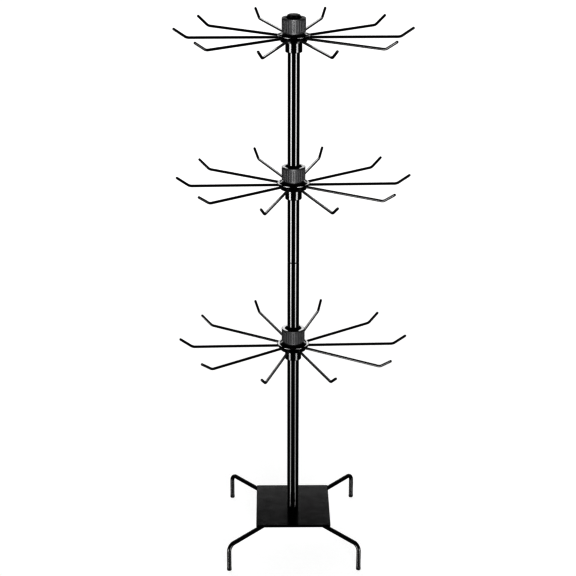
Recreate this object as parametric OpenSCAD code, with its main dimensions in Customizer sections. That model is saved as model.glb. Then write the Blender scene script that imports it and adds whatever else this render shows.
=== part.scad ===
// Countertop rotating display rack: a bent-rod foot frame under a flat plate, a two-piece pole, and three
// tiers of upturned wire hooks. Each tier turns freely on a clamp hub that can be slid up and down the pole.
// Origin: on the floor, on the pole axis. +X right, +Y to the back, +Z up. Millimetres.

/* [Tiers] */
// Height of the top tier's wires above the floor
top_tier_height = 695; // [645:5:695]
// Height of the middle tier's wires above the floor
middle_tier_height = 503; // [438:5:563]
// Height of the bottom tier's wires above the floor
bottom_tier_height = 280; // [110:5:340]
// Angle at which the top tier has come to rest
top_tier_angle = 1; // [0:1:35]
// Angle at which the middle tier has come to rest
middle_tier_angle = 2; // [0:1:35]
// Angle at which the bottom tier has come to rest
bottom_tier_angle = 2; // [0:1:35]

/* [Hooks] */
// Hooks on each tier
hooks_per_tier = 10; // [4:1:12]
// Wire diameter
wire_diameter = 3; // [2.5:0.1:3.4]
// Distance from the pole axis to the bend in a hook
hook_bend_distance = 134; // [80:1:138]
// Distance from the pole axis to the end of a hook
hook_end_distance = 150; // [145:1:200]
// Upward angle of the hook's end
hook_rise_angle = 34; // [20:1:60]
// Radius of the bend, to the middle of the wire
hook_bend_radius = 10; // [6:1:12]

/* [Pole] */
// Height of the top of the pole cap above the floor
rack_height = 723.5; // [723.5:0.5:760]
// Outside diameter of both pole tubes
pole_diameter = 15; // [14.5:0.1:15]
// Wall thickness of the pole tubes
pole_wall = 1.2; // [1:0.1:1.5]
// Height of the joint between the lower and the upper tube
pole_joint_height = 398; // [380:1:405]
// Length of the spigot inside the joint
joiner_length = 80; // [50:5:100]

/* [Base] */
// Width of the base plate, left to right
plate_width = 100; // [90:5:120]
// Depth of the base plate, front to back
plate_depth = 120; // [100:5:140]
// Thickness of the base plate
plate_thickness = 3; // [2:0.5:4]
// Corner radius of the base plate
plate_corner_radius = 2; // [1:0.5:6]
// Height of the base plate's top above the floor
plate_top_height = 42; // [40:1:60]
// Diameter of the leg rods
leg_diameter = 5.3; // [4:0.1:6]
// Distance of each foot from the pole axis, to the left or right
foot_offset_x = 86; // [80:1:110]
// Distance of each foot from the pole axis, to the front or back
foot_offset_y = 106; // [95:1:125]
// Radius of the bend in a leg, to the middle of the rod
leg_bend_radius = 9; // [8:1:14]

/* [Hub] */
// Outside diameter of the hook disc
disc_diameter = 43; // [40:0.2:46]
// Outside diameter of the flange under the disc and of the washer on it
flange_diameter = 35.5; // [33:0.5:37]
// Outside diameter of the collar below the flange
collar_diameter = 21; // [18.5:0.5:24]
// How far the collar reaches below the hook wires
collar_depth = 18.5; // [12:0.5:25]
// Diameter of the knurled nut over its ribs
nut_diameter = 30.2; // [28.8:0.2:33]
// Height of the nut's top above the hook wires
nut_top = 24.8; // [23.6:0.1:26]
// Ribs round the nut
nut_ribs = 32; // [12:1:36]

/* [View] */
// Which sub-part to draw

/* [Hidden] */
$fn = 48;

// Colours
gloss_black = [0.035, 0.035, 0.038];
satin_black = [0.05, 0.05, 0.053];
plastic_black = [0.12, 0.12, 0.125];
bright_zinc = [0.72, 0.73, 0.75];

// Clearances on a radius: a running fit, a seated fit, and a gap left between faces
running = 0.05;
seated = 0.02;
gap = 0.1;
// Overlap used only to make a cut pass clean through
cut = 1;
// Straight steps that stand for a quarter turn in a turned profile
arc_steps = 4;

// Base
plate_bottom = plate_top_height - plate_thickness;
plate_edge = 0.4;
leg_radius = leg_diameter / 2;
leg_axis_height = plate_bottom - leg_radius;
leg_start = 18;
// Distance of a foot from the pole axis, to the nearest tenth
leg_reach = round(norm([foot_offset_x, foot_offset_y]) * 10) / 10;
leg_angle = atan2(foot_offset_y, foot_offset_x);
leg_angles = [180 + leg_angle, -leg_angle, 180 - leg_angle, leg_angle];
foot_cap_wall = 0.2;
foot_cap_height = 4;
foot_cap_floor = 1.6;
foot_cap_edge = 0.5;
weld_length = 28;
weld_side = 1.5;
weld_width = leg_diameter + 2 * weld_side;
weld_height = 1.8;
weld_start = 30;
bolt_radius = 2.5;
bolt_head_radius = 4.6;
bolt_head_height = 3.5;
bolt_length = 22;
bolt_hole_radius = 2.75;
washer_radius = 6;
washer_thickness = 1;
washer_edge = 0.2;

// Pole
pole_radius = pole_diameter / 2;
pole_bore_radius = pole_radius - pole_wall;
pole_end_edge = 0.8;
seam_edge = 0.4;
cap_overhang = 0.7;
cap_radius = pole_radius + cap_overhang;
cap_thickness = 4;
cap_edge_radius = 1.2;
cap_recess_radius = 6.3;
cap_recess_depth = 0.5;
cap_stem_length = 10;
cap_stem_wall = 1.2;
pole_end = rack_height - cap_thickness;
joiner_wall = 1.2;
plug_length = 20;

// Hub, as heights from the middle of the hook wires
disc_radius = disc_diameter / 2;
disc_bottom = -2.2;
disc_top = 3.2;
disc_undercut = 2.8;
disc_lip_radius = 1;
disc_lip_start = -30;
flange_radius = flange_diameter / 2;
flange_bottom = -5.1;
flange_top = disc_bottom - gap;
flange_draft = 1.2;
collar_radius = collar_diameter / 2;
collar_edge = 0.4;
spigot_radius = 12.4;
shoulder = disc_top + 2 * gap;
thread_radius = 12;
thread_depth = 0.8;
thread_pitch = 1.8;
thread_turns = 4;
thread_relief = 1.4;
thread_start = shoulder + thread_relief;
thread_end = 12.5;
finger_base_radius = 9.8;
finger_tip_radius = 8.8;
finger_top = 20.5;
finger_slot = 1.2;
finger_slot_angles = [45, 135];
sleeve_bore_radius = pole_radius + running;
clamp_washer_thickness = 1.7;
clamp_washer_slope = 2.4;
clamp_washer_edge = 0.6;
washer_top = shoulder + clamp_washer_thickness;
washer_top_radius = flange_radius - clamp_washer_slope;
nut_radius = nut_diameter / 2;
rib_radius = 0.75;
rib_height = 0.5;
rib_margin = 0.3;
nut_core_radius = nut_radius - rib_height;
nut_bottom = washer_top + running;
nut_neck_wall = 1;
nut_neck_radius = thread_radius + nut_neck_wall;
nut_body_bottom = 7.1;
nut_band = 1.7;
nut_groove = 0.5;
nut_groove_depth = 0.25;
nut_edge = 0.5;
nut_lip = 2.6;
nut_mouth_radius = 10.5;
ferrule_radius = 11.85;
ferrule_bottom = 13.2;
ferrule_top = nut_top - nut_lip - gap;
ferrule_split = 2;
bead_radius = 12.3;
bead_bottom = 16.2;
bead_height = 1;
bead_slope = 0.25;
nut_ledge = 13;

// Hooks
wire_radius = wire_diameter / 2;
hook_root = 14.1;
hook_socket_root = hook_root - gap;
hook_bend_run = hook_bend_radius * tan(hook_rise_angle / 2);
// Where a wire stops being straight, to the nearest hundredth
hook_bend_start = round((hook_bend_distance - hook_bend_run) * 100) / 100;
hook_end_embed = 0.5;
hook_tip_length = (hook_end_distance - hook_bend_distance) / cos(hook_rise_angle) - hook_bend_run;

// Points on an arc in a turned profile
function arc(centre, radius, from, to, steps) = [
    for (i = [0 : steps])
        let (a = from + (to - from) * i / steps)
            centre + radius * [cos(a), sin(a)]
];

// Radius of the clamping taper at a height
function taper_radius(z) =
    finger_base_radius
    + (finger_tip_radius - finger_base_radius) * (z - thread_end) / (finger_top - thread_end);

// A tube with a chamfer on the outside of its lower and upper ends
module tube(outer, inner, from, to, lower_edge, upper_edge) {
    rotate_extrude()
        polygon([
            [inner, from],
            [outer - lower_edge, from],
            [outer, from + lower_edge],
            [outer, to - upper_edge],
            [outer - upper_edge, to],
            [inner, to]
        ]);
}

// ---- Base ----

module plate_outline() {
    inner_x = plate_width / 2 - plate_corner_radius;
    inner_y = plate_depth / 2 - plate_corner_radius;
    union() {
        square([plate_width, 2 * inner_y], center = true);
        square([2 * inner_x, plate_depth], center = true);
        for (x = [-inner_x, inner_x], y = [-inner_y, inner_y])
            translate([x, y])
                circle(plate_corner_radius);
    }
}

// Flat plate with its upper edges eased and a hole for the pole's bolt
module base_plate() {
    half_spans = [plate_width / 2, plate_depth / 2, plate_width / 2, plate_depth / 2];
    color(satin_black)
        difference() {
            translate([0, 0, plate_bottom])
                linear_extrude(plate_thickness)
                    plate_outline();
            translate([0, 0, plate_bottom - cut])
                cylinder(h = plate_thickness + 2 * cut, r = bolt_hole_radius);
            for (side = [0 : 3])
                rotate([0, 0, 90 * side])
                    translate([half_spans[side] - plate_edge, 0, plate_top_height])
                        rotate([0, 45, 0])
                            translate([0, -plate_depth, 0])
                                cube([plate_thickness, 2 * plate_depth, plate_thickness]);
        }
}

// A rod that runs out under the plate and then straight down to the floor, drawn along +X
module bent_leg() {
    straight_end = leg_reach - leg_bend_radius;
    translate([leg_start, 0, leg_axis_height])
        rotate([0, 90, 0])
            cylinder(h = straight_end - leg_start, r = leg_radius);
    translate([straight_end, 0, leg_axis_height - leg_bend_radius])
        rotate([90, 0, 0])
            rotate_extrude(angle = 90)
                translate([leg_bend_radius, 0])
                    circle(leg_radius);
    translate([leg_reach, 0, foot_cap_floor + seated])
        cylinder(h = leg_axis_height - leg_bend_radius - foot_cap_floor - seated, r = leg_radius);
}

module leg(i) {
    color(gloss_black)
        rotate([0, 0, leg_angles[i]])
            bent_leg();
}

module leg_front_left() { leg(0); }

module leg_front_right() { leg(1); }

module leg_rear_left() { leg(2); }

module leg_rear_right() { leg(3); }

// The weld metal on both sides of each rod, under the plate
module leg_welds() {
    color(satin_black)
        for (a = leg_angles)
            rotate([0, 0, a])
                difference() {
                    translate([weld_start, 0, plate_bottom])
                        rotate([90, 0, 90])
                            linear_extrude(weld_length)
                                polygon([
                                    [-weld_width / 2, 0],
                                    [weld_width / 2, 0],
                                    [leg_radius, -weld_height],
                                    [-leg_radius, -weld_height]
                                ]);
                    translate([leg_start, 0, leg_axis_height])
                        rotate([0, 90, 0])
                            cylinder(h = leg_reach, r = leg_radius);
                }
}

module foot_cap(i) {
    outer = leg_radius + foot_cap_wall;
    inner = leg_radius + seated;
    color(plastic_black)
        rotate([0, 0, leg_angles[i]])
            translate([leg_reach, 0, 0])
                rotate_extrude()
                    polygon([
                        [0, 0],
                        [outer - foot_cap_edge, 0],
                        [outer, foot_cap_edge],
                        [outer, foot_cap_height - foot_cap_edge],
                        [inner, foot_cap_height],
                        [inner, foot_cap_floor],
                        [0, foot_cap_floor]
                    ]);
}

module foot_cap_front_left() { foot_cap(0); }

module foot_cap_front_right() { foot_cap(1); }

module foot_cap_rear_left() { foot_cap(2); }

module foot_cap_rear_right() { foot_cap(3); }

// Hexagon-head bolt up through the plate into the plug
module base_bolt() {
    head_top = plate_bottom - washer_thickness;
    color(bright_zinc)
        union() {
            translate([0, 0, head_top - bolt_head_height])
                cylinder(h = bolt_head_height, r = bolt_head_radius, $fn = 6);
            translate([0, 0, head_top])
                cylinder(h = bolt_length, r = bolt_radius);
        }
}

module base_washer() {
    color(bright_zinc)
        tube(
            washer_radius, bolt_hole_radius,
            plate_bottom - washer_thickness, plate_bottom, washer_edge, washer_edge
        );
}

// Threaded plug pressed into the bottom of the lower tube
module pole_plug() {
    color(bright_zinc)
        tube(
            pole_bore_radius - seated, bolt_radius + seated,
            plate_top_height, plate_top_height + plug_length, 0, pole_end_edge
        );
}

// ---- Pole ----

module lower_pole() {
    color(gloss_black)
        tube(pole_radius, pole_bore_radius, plate_top_height, pole_joint_height, 0, seam_edge);
}

module upper_pole() {
    color(gloss_black)
        tube(pole_radius, pole_bore_radius, pole_joint_height, pole_end, pole_end_edge, 0);
}

// Spigot fixed in the lower tube, over which the upper tube slips
module pole_joiner() {
    outer = pole_bore_radius - running;
    color(bright_zinc)
        tube(
            outer, outer - joiner_wall,
            pole_joint_height - joiner_length / 2, pole_joint_height + joiner_length / 2,
            pole_end_edge, pole_end_edge
        );
}

module pole_cap() {
    stem_radius = pole_bore_radius - seated;
    edge_centre = [cap_radius - cap_edge_radius, rack_height - cap_edge_radius];
    color(plastic_black)
        rotate_extrude()
            polygon(concat(
                [
                    [0, pole_end],
                    [stem_radius - cap_stem_wall, pole_end],
                    [stem_radius - cap_stem_wall, pole_end - cap_stem_length],
                    [stem_radius, pole_end - cap_stem_length],
                    [stem_radius, pole_end],
                    [cap_radius, pole_end]
                ],
                arc(edge_centre, cap_edge_radius, 0, 90, arc_steps),
                [
                    [cap_recess_radius, rack_height],
                    [cap_recess_radius - cap_recess_depth, rack_height - cap_recess_depth],
                    [0, rack_height - cap_recess_depth]
                ]
            ));
}

// ---- One tier's pieces, drawn with the hook wires at height zero ----

// Clamp sleeve: collar, flange, bearing spigot, thread and slotted taper in one moulding
module sleeve() {
    color(plastic_black)
        difference() {
            rotate_extrude()
                polygon(concat(
                    [
                        [sleeve_bore_radius, -collar_depth],
                        [collar_radius - collar_edge, -collar_depth],
                        [collar_radius, -collar_depth + collar_edge],
                        [collar_radius, flange_bottom],
                        [flange_radius - flange_draft, flange_bottom],
                        [flange_radius, flange_top],
                        [spigot_radius, flange_top],
                        [spigot_radius, shoulder],
                        [thread_radius, shoulder],
                        [thread_radius, thread_start]
                    ],
                    [
                        for (i = [0 : thread_turns - 1])
                            each [
                                [thread_radius - thread_depth, thread_start + (i + 0.5) * thread_pitch],
                                [thread_radius, thread_start + (i + 1) * thread_pitch]
                            ]
                    ],
                    [
                        [thread_radius, thread_end],
                        [finger_base_radius, thread_end],
                        [finger_tip_radius, finger_top],
                        [sleeve_bore_radius, finger_top]
                    ]
                ));
            for (a = finger_slot_angles)
                rotate([0, 0, a])
                    translate([-disc_radius, -finger_slot / 2, thread_end + gap])
                        cube([2 * disc_radius, finger_slot, finger_top]);
        }
}

// Turned steel disc with a blind socket for each wire
module disc() {
    color(gloss_black)
        difference() {
            rotate_extrude()
                polygon(concat(
                    [
                        [spigot_radius + running, disc_bottom],
                        [disc_radius - disc_undercut, disc_bottom]
                    ],
                    arc(
                        [disc_radius - disc_lip_radius, disc_top - disc_lip_radius],
                        disc_lip_radius, disc_lip_start, 90, 2 * arc_steps
                    ),
                    [
                        [spigot_radius + running, disc_top]
                    ]
                ));
            for (i = [0 : hooks_per_tier - 1])
                rotate([0, 0, 360 * i / hooks_per_tier])
                    translate([hook_socket_root, 0, 0])
                        rotate([0, 90, 0])
                            cylinder(h = disc_radius, r = wire_radius + seated);
        }
}

// One wire, drawn along +X: a straight arm, a bend and an upturned, rounded end drawn a hair thinner
module hook() {
    end_radius = wire_radius - seated;
    translate([hook_root, 0, 0])
        rotate([0, 90, 0])
            cylinder(h = hook_bend_start - hook_root, r = wire_radius);
    translate([hook_bend_start, 0, hook_bend_radius]) {
        rotate([90, 0, 0])
            rotate([0, 0, -90])
                rotate_extrude(angle = hook_rise_angle)
                    translate([hook_bend_radius, 0])
                        circle(wire_radius);
        rotate([0, -hook_rise_angle, 0])
            translate([0, 0, -hook_bend_radius])
                rotate([0, 90, 0])
                    rotate_extrude()
                        polygon(concat(
                            [[0, -hook_end_embed], [end_radius, -hook_end_embed]],
                            arc([0, hook_tip_length], end_radius, 0, 90, arc_steps)
                        ));
    }
}

module hooks() {
    color(gloss_black)
        for (i = [0 : hooks_per_tier - 1])
            rotate([0, 0, 360 * i / hooks_per_tier])
                hook();
}

// Dished washer between the disc and the nut
module clamp_washer() {
    color(plastic_black)
        rotate_extrude()
            polygon([
                [thread_radius + running, shoulder],
                [flange_radius - clamp_washer_edge, shoulder],
                [flange_radius, shoulder + clamp_washer_edge],
                [washer_top_radius, washer_top],
                [thread_radius + running, washer_top]
            ]);
}

// Split wedge ring that the nut pushes down the slotted taper to grip the pole
module ferrule() {
    inner_bottom = taper_radius(ferrule_bottom) + running;
    inner_top = taper_radius(ferrule_top) + running;
    color(plastic_black)
        difference() {
            rotate_extrude()
                polygon([
                    [inner_bottom, ferrule_bottom],
                    [ferrule_radius, ferrule_bottom],
                    [ferrule_radius, bead_bottom],
                    [bead_radius, bead_bottom + bead_slope],
                    [bead_radius, bead_bottom + bead_height - bead_slope],
                    [ferrule_radius, bead_bottom + bead_height],
                    [ferrule_radius, ferrule_top],
                    [inner_top, ferrule_top]
                ]);
            translate([0, -ferrule_split / 2, ferrule_bottom - cut])
                cube([disc_radius, ferrule_split, ferrule_top]);
        }
}

// Knurled nut: ribbed outside, plain rim, threaded below and hollow above
module knurled_nut() {
    cavity_radius = ferrule_radius + running;
    bead_groove_radius = bead_radius + running;
    band_bottom = nut_top - nut_band;
    groove_bottom = band_bottom - nut_groove;
    color(plastic_black)
        union() {
            rotate_extrude()
                polygon([
                    [thread_radius + running, nut_bottom],
                    [nut_neck_radius, nut_bottom],
                    [nut_neck_radius, nut_body_bottom],
                    [nut_core_radius, nut_body_bottom],
                    [nut_core_radius, groove_bottom],
                    [nut_core_radius - nut_groove_depth, groove_bottom],
                    [nut_core_radius - nut_groove_depth, band_bottom],
                    [nut_radius, band_bottom],
                    [nut_radius, nut_top - nut_edge],
                    [nut_radius - nut_edge, nut_top],
                    [nut_mouth_radius + nut_edge, nut_top],
                    [nut_mouth_radius, nut_top - nut_edge],
                    [nut_mouth_radius, nut_top - nut_lip],
                    [cavity_radius, nut_top - nut_lip],
                    [cavity_radius, bead_bottom + bead_height + gap],
                    [bead_groove_radius, bead_bottom + bead_height - bead_slope + gap],
                    [bead_groove_radius, bead_bottom + bead_slope - gap],
                    [cavity_radius, bead_bottom - gap],
                    [cavity_radius, nut_ledge],
                    [thread_radius + running, nut_ledge]
                ]);
            for (i = [0 : nut_ribs - 1])
                rotate([0, 0, 360 * i / nut_ribs])
                    translate([nut_radius - rib_radius, 0, nut_body_bottom + rib_margin])
                        cylinder(h = groove_bottom - nut_body_bottom - 2 * rib_margin, r = rib_radius);
        }
}

// ---- Tiers ----

module at_tier(height, angle) {
    translate([0, 0, height])
        rotate([0, 0, angle])
            children();
}

module top_sleeve() { at_tier(top_tier_height, 0) sleeve(); }

module top_disc() { at_tier(top_tier_height, top_tier_angle) disc(); }

module top_hooks() { at_tier(top_tier_height, top_tier_angle) hooks(); }

module top_washer() { at_tier(top_tier_height, 0) clamp_washer(); }

module top_ferrule() { at_tier(top_tier_height, 0) ferrule(); }

module top_nut() { at_tier(top_tier_height, 0) knurled_nut(); }

module middle_sleeve() { at_tier(middle_tier_height, 0) sleeve(); }

module middle_disc() { at_tier(middle_tier_height, middle_tier_angle) disc(); }

module middle_hooks() { at_tier(middle_tier_height, middle_tier_angle) hooks(); }

module middle_washer() { at_tier(middle_tier_height, 0) clamp_washer(); }

module middle_ferrule() { at_tier(middle_tier_height, 0) ferrule(); }

module middle_nut() { at_tier(middle_tier_height, 0) knurled_nut(); }

module bottom_sleeve() { at_tier(bottom_tier_height, 0) sleeve(); }

module bottom_disc() { at_tier(bottom_tier_height, bottom_tier_angle) disc(); }

module bottom_hooks() { at_tier(bottom_tier_height, bottom_tier_angle) hooks(); }

module bottom_washer() { at_tier(bottom_tier_height, 0) clamp_washer(); }

module bottom_ferrule() { at_tier(bottom_tier_height, 0) ferrule(); }

module bottom_nut() { at_tier(bottom_tier_height, 0) knurled_nut(); }

base_plate();
leg_front_left();
leg_front_right();
leg_rear_left();
leg_rear_right();
leg_welds();
foot_cap_front_left();
foot_cap_front_right();
foot_cap_rear_left();
foot_cap_rear_right();
base_bolt();
base_washer();
pole_plug();
lower_pole();
pole_joiner();
upper_pole();
pole_cap();
top_sleeve();
top_disc();
top_hooks();
top_washer();
top_ferrule();
top_nut();
middle_sleeve();
middle_disc();
middle_hooks();
middle_washer();
middle_ferrule();
middle_nut();
bottom_sleeve();
bottom_disc();
bottom_hooks();
bottom_washer();
bottom_ferrule();
bottom_nut();
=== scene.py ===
"""Looks, light and camera for the rotating display rack.

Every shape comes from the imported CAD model. This script gives each piece its procedural finish and sets up
a pale floor, reflection cards, lights, a backdrop and the camera. Metres, +Z up, origin on the floor under
the pole.
"""

import math

import bpy
from mathutils import Matrix, Vector

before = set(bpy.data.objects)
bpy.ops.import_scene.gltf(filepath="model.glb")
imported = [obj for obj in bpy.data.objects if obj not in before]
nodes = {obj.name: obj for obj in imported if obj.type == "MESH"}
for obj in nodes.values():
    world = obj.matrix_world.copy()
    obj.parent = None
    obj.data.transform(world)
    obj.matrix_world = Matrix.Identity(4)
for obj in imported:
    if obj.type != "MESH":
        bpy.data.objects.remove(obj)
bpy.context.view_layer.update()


# ---- Materials ----

def add_node(tree, kind, inputs=None, **settings):
    """Adds a node with its settings, and links or sets its inputs."""
    node = tree.nodes.new(kind)
    for key, value in settings.items():
        setattr(node, key, value)
    for key, value in (inputs or {}).items():
        if isinstance(value, bpy.types.NodeSocket):
            tree.links.new(value, node.inputs[key])
        else:
            node.inputs[key].default_value = value
    return node


class Graph:
    """A material's nodes, with a short method for each kind that is used often."""

    def __init__(self, name):
        self.material = bpy.data.materials.new(name)
        self.material.use_nodes = True
        self.tree = self.material.node_tree
        self.tree.nodes.clear()
        self.coords = self.add("ShaderNodeTexCoord").outputs["Object"]
        self.output = self.add("ShaderNodeOutputMaterial")

    def add(self, kind, inputs=None, **settings):
        return add_node(self.tree, kind, inputs, **settings)

    def vector_math(self, operation, a, b=None, output=0):
        inputs = {0: a} if b is None else {0: a, 1: b}
        return self.add("ShaderNodeVectorMath", inputs, operation=operation).outputs[output]

    def noise(self, scale, detail=2.0, roughness=0.5, stretch=None):
        """Fractal noise with so many cells to a metre, stretched along an axis if asked."""
        vector = self.coords
        if stretch is not None:
            vector = self.vector_math("MULTIPLY", vector, stretch)
        return self.add(
            "ShaderNodeTexNoise",
            {"Vector": vector, "Scale": scale, "Detail": detail, "Roughness": roughness},
        ).outputs["Fac"]

    def ramp(self, value, low, high, from_low=0.0, from_high=1.0):
        """value, mapped from one range to another and clamped."""
        return self.add(
            "ShaderNodeMapRange",
            {"Value": value, "From Min": from_low, "From Max": from_high, "To Min": low, "To Max": high},
        ).outputs["Result"]

    def mix(self, factor, a, b):
        """A colour between a and b, each a socket or red, green and blue."""
        a, b = (c if isinstance(c, bpy.types.NodeSocket) else (*c, 1.0) for c in (a, b))
        # The node's sockets 6 and 7 take the colours, and output 2 gives the mix.
        return self.add("ShaderNodeMix", {0: factor, 6: a, 7: b}, data_type="RGBA").outputs[2]

    def mix_values(self, factor, a, b):
        """A number between a and b, each a socket or a number."""
        return self.add("ShaderNodeMix", {0: factor, 2: a, 3: b}, data_type="FLOAT").outputs[0]

    def math(self, operation, a, b=0.0):
        return self.add("ShaderNodeMath", {0: a, 1: b}, operation=operation).outputs[0]

    def bump(self, height, distance, normal=None):
        inputs = {"Height": height, "Distance": distance, "Strength": 1.0}
        if normal is not None:
            inputs["Normal"] = normal
        return self.add("ShaderNodeBump", inputs).outputs["Normal"]

    def surface(self, shader):
        """Makes a shader the material's surface."""
        self.tree.links.new(shader.outputs[0], self.output.inputs["Surface"])
        return self.material

    def finish(self, **inputs):
        """Makes a principled shader of these inputs the surface."""
        named = {key.replace("_", " "): value for key, value in inputs.items()}
        return self.surface(self.add("ShaderNodeBsdfPrincipled", named))


def scaled(colour, factor):
    return [channel * factor for channel in colour]


def edge_mask(g, radius):
    """1 at edges, out to a radius from them, and 0 on flat faces."""
    rounded = g.add("ShaderNodeBevel", {"Radius": radius}, samples=4).outputs["Normal"]
    plain = g.add("ShaderNodeNewGeometry").outputs["Normal"]
    dot = g.vector_math("DOT_PRODUCT", rounded, plain, "Value")
    return g.ramp(dot, 1.0, 0.0, 0.80, 0.99)


DUST = (0.030, 0.030, 0.031)
BARE_EDGE = (0.022, 0.022, 0.023)


def coat(name, base, roughness, peel, grain):
    """Baked black coating on steel: a little orange peel, fine dust and slightly worn edges.

    peel and grain are the heights of the two sizes of unevenness, in metres.
    """
    g = Graph(name)
    dust = g.ramp(g.noise(900.0, 3.0, 0.6), 0.0, 1.0, 0.62, 0.80)
    mottle = g.ramp(g.noise(38.0, 3.0, 0.55), 0.0, 1.0, 0.35, 0.65)
    tone = g.mix(mottle, scaled(base, 0.85), scaled(base, 1.15))
    colour = g.mix(g.math("MULTIPLY", dust, 0.25), tone, DUST)
    wear = g.ramp(g.noise(260.0, 3.0), 0.0, 0.5, 0.45, 0.65)
    colour = g.mix(g.math("MULTIPLY", edge_mask(g, 0.0004), wear), colour, BARE_EDGE)
    rough = g.ramp(g.noise(70.0, 4.0, 0.6), roughness * 0.8, roughness * 1.25, 0.3, 0.7)
    rough = g.math("ADD", rough, g.math("MULTIPLY", dust, 0.06))
    normal = g.bump(g.noise(420.0), peel)
    normal = g.bump(g.noise(2600.0), grain, normal)
    return g.finish(Base_Color=colour, Roughness=rough, Normal=normal, IOR=1.5)


BLACK_PLASTIC = (0.005, 0.005, 0.0052)
# The strength of reflection in a moulding's upward faces
TOP_SHINE = 0.5
# The width of the change from the painted shade to the moulding's own colour
PAINTED_SHADE_BLEND = 0.0002


def moulding(name, base, roughness, grain, shine=0.5, painted_shade_radius=0.0, smooth_top=None):
    """Injection-moulded plastic with a spark-eroded texture.

    It can be painted near black within a radius, as the shade deep in a recess, and its upward faces can
    have a roughness of their own.
    """
    g = Graph(name)
    mottle = g.ramp(g.noise(55.0, 3.0), 0.0, 1.0, 0.3, 0.7)
    tone = g.mix(mottle, scaled(base, 0.95), scaled(base, 1.07))
    worn = g.math("MULTIPLY", edge_mask(g, 0.0003), 0.3)
    colour = g.mix(worn, tone, scaled(base, 1.5))
    rough = g.ramp(g.noise(240.0, 3.0), roughness * 0.94, roughness * 1.06, 0.3, 0.7)
    # Painted shade: within the radius the colour goes to near-black plastic, standing in for the shade deep
    # in a recess such as the nut's mouth.
    if painted_shade_radius:
        flat = g.vector_math("MULTIPLY", g.coords, (1.0, 1.0, 0.0))
        radius = g.vector_math("LENGTH", flat, output="Value")
        inside = g.ramp(radius, 1.0, 0.0, painted_shade_radius, painted_shade_radius + PAINTED_SHADE_BLEND)
        colour = g.mix(inside, colour, BLACK_PLASTIC)
    if smooth_top is not None:
        normal = g.add("ShaderNodeNewGeometry").outputs["Normal"]
        upward = g.add("ShaderNodeSeparateXYZ", {0: normal}).outputs["Z"]
        top = g.ramp(upward, 0.0, 1.0, 0.5, 0.8)
        rough = g.mix_values(top, rough, smooth_top)
        shine = g.ramp(top, shine, TOP_SHINE)
    normal = g.bump(g.noise(3000.0, 3.0, 0.6), grain)
    return g.finish(Base_Color=colour, Roughness=rough, Normal=normal, IOR=1.49, Specular_IOR_Level=shine)


def rubber(name, base):
    g = Graph(name)
    colour = g.mix(g.ramp(g.noise(400.0, 3.0), 0.0, 1.0, 0.4, 0.7), base, scaled(base, 1.6))
    rough = g.ramp(g.noise(300.0), 0.6, 0.8)
    return g.finish(Base_Color=colour, Roughness=rough, Normal=g.bump(g.noise(1800.0), 2e-5))


def zinc(name):
    """Bright zinc plate: fine turning marks and a cloudy finish."""
    g = Graph(name)
    cloud = g.ramp(g.noise(180.0, 4.0, 0.6), 0.0, 1.0, 0.35, 0.7)
    colour = g.mix(cloud, (0.62, 0.64, 0.67), (0.74, 0.74, 0.74))
    rough = g.ramp(cloud, 0.22, 0.38)
    lines = g.noise(900.0, stretch=(0.2, 0.2, 3.0))
    return g.finish(Base_Color=colour, Metallic=1.0, Roughness=rough, Normal=g.bump(lines, 1e-5))


# The nut's mouth lies within this radius, and the nut's colour is painted near black inside it as the shade
# in the recess.
NUT_MOUTH = 0.0109

finishes = {
    "pole": coat("gloss_coat_pole", (0.0030, 0.0030, 0.0032), roughness=0.05, peel=1.8e-6, grain=2e-7),
    "rod": coat("satin_coat_rod", (0.0045, 0.0045, 0.0048), roughness=0.26, peel=4e-6, grain=6e-7),
    "wire": coat("gloss_coat_wire", (0.0030, 0.0030, 0.0032), roughness=0.12, peel=4e-6, grain=4e-7),
    "plate": coat("gloss_coat_plate", (0.0050, 0.0050, 0.0053), roughness=0.12, peel=2e-6, grain=5e-7),
    "disc": coat("gloss_coat_disc", (0.0040, 0.0040, 0.0042), roughness=0.10, peel=2e-6, grain=4e-7),
    "nut": moulding(
        "moulded_nut", (0.038, 0.038, 0.039), roughness=0.50, grain=1e-6, shine=0.60,
        painted_shade_radius=NUT_MOUTH, smooth_top=0.12,
    ),
    "sleeve": moulding("moulded_sleeve", BLACK_PLASTIC, roughness=0.15, grain=6e-7),
    "washer": moulding("moulded_washer", BLACK_PLASTIC, roughness=0.16, grain=2e-6, shine=0.3),
    "cap": moulding("moulded_cap", BLACK_PLASTIC, roughness=0.30, grain=3e-6, shine=0.1),
    "foot": rubber("rubber_foot", (0.012, 0.012, 0.012)),
    "zinc": zinc("zinc_plate"),
}

# The finish of each node: by its exact name, or else by how the name starts or ends
finish_by_name = {
    "base_plate": "plate",
    "leg_welds": "plate",
    "base_bolt": "zinc",
    "base_washer": "zinc",
    "pole_plug": "zinc",
    "pole_joiner": "zinc",
    "lower_pole": "pole",
    "upper_pole": "pole",
    "pole_cap": "cap",
}
finish_by_start = {
    "leg_": "rod",
    "foot_cap_": "foot",
}
finish_by_end = {
    "_sleeve": "sleeve",
    "_washer": "washer",
    "_ferrule": "washer",
    "_nut": "nut",
    "_disc": "disc",
    "_hooks": "wire",
}


def finish_name(node):
    if node in finish_by_name:
        return finish_by_name[node]
    for start, name in finish_by_start.items():
        if node.startswith(start):
            return name
    for end, name in finish_by_end.items():
        if node.endswith(end):
            return name
    raise KeyError(node)


for node, obj in nodes.items():
    obj.data.materials.clear()
    obj.data.materials.append(finishes[finish_name(node)])


# ---- Floor ----

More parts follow.
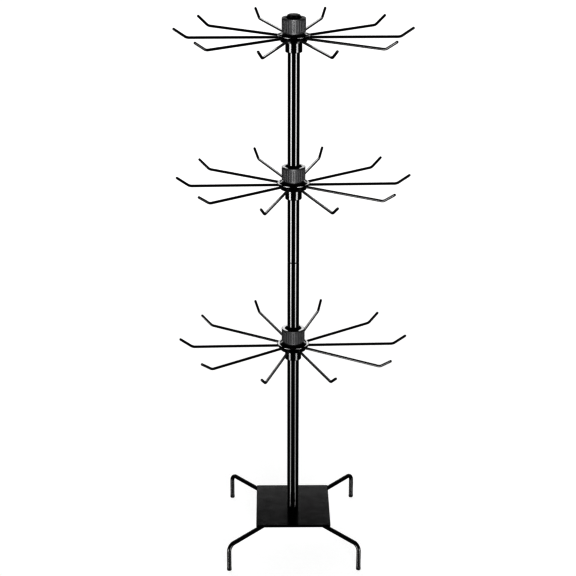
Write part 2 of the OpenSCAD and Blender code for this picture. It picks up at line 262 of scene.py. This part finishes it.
def quad(name, width, height, placed, material):
    """A flat rectangle facing its own +Z, placed by a matrix. It isn't part of the object."""
    mesh = bpy.data.meshes.new(name)
    w, h = width / 2, height / 2
    mesh.from_pydata([(-w, -h, 0), (w, -h, 0), (w, h, 0), (-w, h, 0)], [], [(0, 1, 2, 3)])
    mesh.materials.append(material)
    obj = bpy.data.objects.new(name, mesh)
    bpy.context.scene.collection.objects.link(obj)
    obj.matrix_world = placed
    return obj


WHITE = (1.0, 1.0, 1.0, 1.0)
FLOOR_SIZE = 60.0
FLOOR_DROP = 0.0002
# How much the floor is lifted near the object and far off, and the distances between which it changes
FLOOR_LIFT = (0.91, 1.0, 0.3, 2.0)


def floor_material():
    """Near-white board, lifted for the camera alone so that it lights nothing."""
    g = Graph("floor")
    tone = g.mix(g.noise(3.0), (0.115, 0.115, 0.115), (0.125, 0.125, 0.125))
    seen = g.add("ShaderNodeLightPath").outputs["Is Camera Ray"]
    away = g.vector_math("LENGTH", g.coords, output="Value")
    lift = g.math("MULTIPLY", seen, g.ramp(away, *FLOOR_LIFT))
    return g.finish(Base_Color=tone, Roughness=0.9, Emission_Color=WHITE, Emission_Strength=lift)


floor = quad("floor", FLOOR_SIZE, FLOOR_SIZE, Matrix.Translation((0, 0, -FLOOR_DROP)), floor_material())
floor.visible_glossy = False
floor.visible_diffuse = False
# The pole's reflections run down to its foot as if the plate weren't there.
nodes["base_plate"].visible_glossy = False


# ---- Reflection cards ----

def facing(place, target):
    """A matrix at a place whose +Z looks at a target, with +Y upward."""
    towards = (Vector(target) - Vector(place)).normalized()
    across = Vector((0, 0, 1)).cross(towards).normalized()
    up = towards.cross(across)
    turn = Matrix((across, up, towards)).transposed().to_4x4()
    return Matrix.Translation(place) @ turn


def light_only(source, end, state):
    """Limits a light or card to pieces whose names end so ("INCLUDE"), or keeps it off them ("EXCLUDE")."""
    group = bpy.data.collections.new(source.name + "_receivers")
    for node, obj in nodes.items():
        if node.endswith(end):
            group.objects.link(obj)
    for entry in group.collection_objects:
        entry.light_linking.link_state = state
    source.light_linking.receiver_collection = group


CARD_DISTANCE = 2.0
# The main cards make the pole's two bright lines. Their middle, and the heights between which they
# brighten, are measured from the floor, and lie below it.
CARD_HEIGHT = 2.7
CARD_MIDDLE = -0.85
CARD_DIM_BELOW = -0.76
CARD_FULL_ABOVE = -0.27
# A wider pair above them is seen in the rims of the discs alone.
RIM_WIDTH = 1.7
RIM_HEIGHT = 2.3
RIM_MIDDLE = 2.4
RIM_GAIN = 2.2


def card_material(name, low, high):
    """Emission that grows with height, from CARD_DIM_BELOW to CARD_FULL_ABOVE."""
    g = Graph(name)
    height = g.add("ShaderNodeSeparateXYZ", {0: g.coords}).outputs["Y"]
    strength = g.ramp(height, low, high, CARD_DIM_BELOW - CARD_MIDDLE, CARD_FULL_ABOVE - CARD_MIDDLE)
    return g.surface(g.add("ShaderNodeEmission", {"Strength": strength}))


def card(name, bearing, middle, width, height, low, high):
    """A bright upright rectangle that only gloss sees, at a bearing from the front in radians."""
    place = (CARD_DISTANCE * math.sin(bearing), -CARD_DISTANCE * math.cos(bearing), middle)
    obj = quad(name, width, height, facing(place, (0, 0, middle)), card_material(name, low, high))
    obj.visible_camera = False
    obj.visible_diffuse = False
    obj.visible_transmission = False
    obj.visible_shadow = False
    return obj


# Name, bearing from the front in degrees, width, and brightness low and high
for name, degrees, width, low, high in (
    ("card_left", -52.0, 1.05, 12.5, 25.0),
    ("card_right", 48.0, 1.05, 11.0, 21.5),
):
    bearing = math.radians(degrees)
    main = card(name, bearing, CARD_MIDDLE, width, CARD_HEIGHT, low, high)
    light_only(main, "_nut", "EXCLUDE")
    bright = high * RIM_GAIN
    rim = card(name + "_rim", bearing, RIM_MIDDLE, RIM_WIDTH, RIM_HEIGHT, bright, bright)
    light_only(rim, "_disc", "INCLUDE")


# ---- Lights ----

AIM = (0, 0, 0.4)


def area_light(name, place, size, power):
    data = bpy.data.lights.new(name, "AREA")
    data.shape = "SQUARE"
    data.size = size
    data.energy = power
    obj = bpy.data.objects.new(name, data)
    bpy.context.scene.collection.objects.link(obj)
    # A light shines along its own -Z.
    obj.matrix_world = facing(place, AIM) @ Matrix.Rotation(math.pi, 4, "Y")
    obj.visible_camera = False
    obj.visible_glossy = False
    return obj


area_light("soft_front", (0.2, -2.4, 0.95), size=0.8, power=70.0)
area_light("soft_back", (-1.4, 2.2, 1.6), size=1.6, power=15.0)
# The nuts' rough sides take a broad highlight from straight ahead instead of the cards' two strips.
nut_front = area_light("nut_front", (0.0, -2.4, 0.4), size=0.9, power=185.0)
nut_front.visible_glossy = True
light_only(nut_front, "_nut", "INCLUDE")


# ---- World ----

BACKDROP_STRENGTH = 6.0
# The direction's Y from which the backdrop fades in, and where it is full
BACKDROP_EDGE = 0.3
BACKDROP_FULL = 0.7
# The share of its strength that is left everywhere else
FRONT_SHARE = 0.03
# Brightness by the sine of the elevation: a lit band a little way up from the horizon
BACKDROP_LEVELS = (
    (-1.0, 0.02), (0.0, 0.03), (0.19, 0.05), (0.235, 0.45), (0.30, 0.60), (0.35, 1.0),
    (0.385, 1.0), (0.42, 0.48), (0.46, 0.05), (0.52, 0.02), (1.0, 0.02),
)


def studio_world():
    """Plain white to the camera, and a lit band behind the object to everything else."""
    world = bpy.data.worlds.new("studio")
    world.use_nodes = True
    tree = world.node_tree
    tree.nodes.clear()

    generated = add_node(tree, "ShaderNodeTexCoord").outputs["Generated"]
    direction = add_node(tree, "ShaderNodeSeparateXYZ", {"Vector": generated}).outputs
    # The sine runs from -1 to 1, and the ramp from 0 to 1.
    height = add_node(tree, "ShaderNodeMapRange", {"Value": direction["Z"], "From Min": -1.0})
    ramp = add_node(tree, "ShaderNodeValToRGB", {"Fac": height.outputs["Result"]})
    elements = ramp.color_ramp.elements
    while len(elements) < len(BACKDROP_LEVELS):
        elements.new(0.5)
    for element, (sine, level) in zip(elements, BACKDROP_LEVELS):
        element.position = (sine + 1) / 2
        element.color = (level, level, level, 1.0)
    strength = add_node(tree, "ShaderNodeMapRange", {
        "Value": direction["Y"],
        "From Min": BACKDROP_EDGE,
        "From Max": BACKDROP_FULL,
        "To Min": FRONT_SHARE * BACKDROP_STRENGTH,
        "To Max": BACKDROP_STRENGTH,
    }).outputs["Result"]
    lit = add_node(tree, "ShaderNodeBackground", {"Color": ramp.outputs["Color"], "Strength": strength})
    plain = add_node(tree, "ShaderNodeBackground", {"Color": WHITE})
    seen = add_node(tree, "ShaderNodeLightPath").outputs["Is Camera Ray"]
    mixer = add_node(tree, "ShaderNodeMixShader", {0: seen, 1: lit.outputs[0], 2: plain.outputs[0]})
    add_node(tree, "ShaderNodeOutputWorld", {"Surface": mixer.outputs[0]})
    return world


bpy.context.scene.world = studio_world()


# ---- Camera ----

# Looking below the horizon and a little to the right, very nearly level, in degrees
CAMERA_DOWN = 19.82
CAMERA_ROLL = -0.06
CAMERA_TURN = -0.667

camera_data = bpy.data.cameras.new("camera")
camera_data.sensor_width = 36.0
camera_data.lens = 102.75
camera_data.clip_start = 0.05
camera_data.clip_end = 200.0
camera = bpy.data.objects.new("camera", camera_data)
bpy.context.scene.collection.objects.link(camera)
camera.location = (-0.0315, -2.0418, 1.0972)
camera.rotation_euler = [math.radians(angle) for angle in (90.0 - CAMERA_DOWN, CAMERA_ROLL, CAMERA_TURN)]
bpy.context.scene.camera = camera

view = bpy.context.scene.view_settings
view.view_transform = "Standard"
view.look = "None"
# Brings screen values close to light values, so that thin black wires keep their weight against white.
view.gamma = 0.5
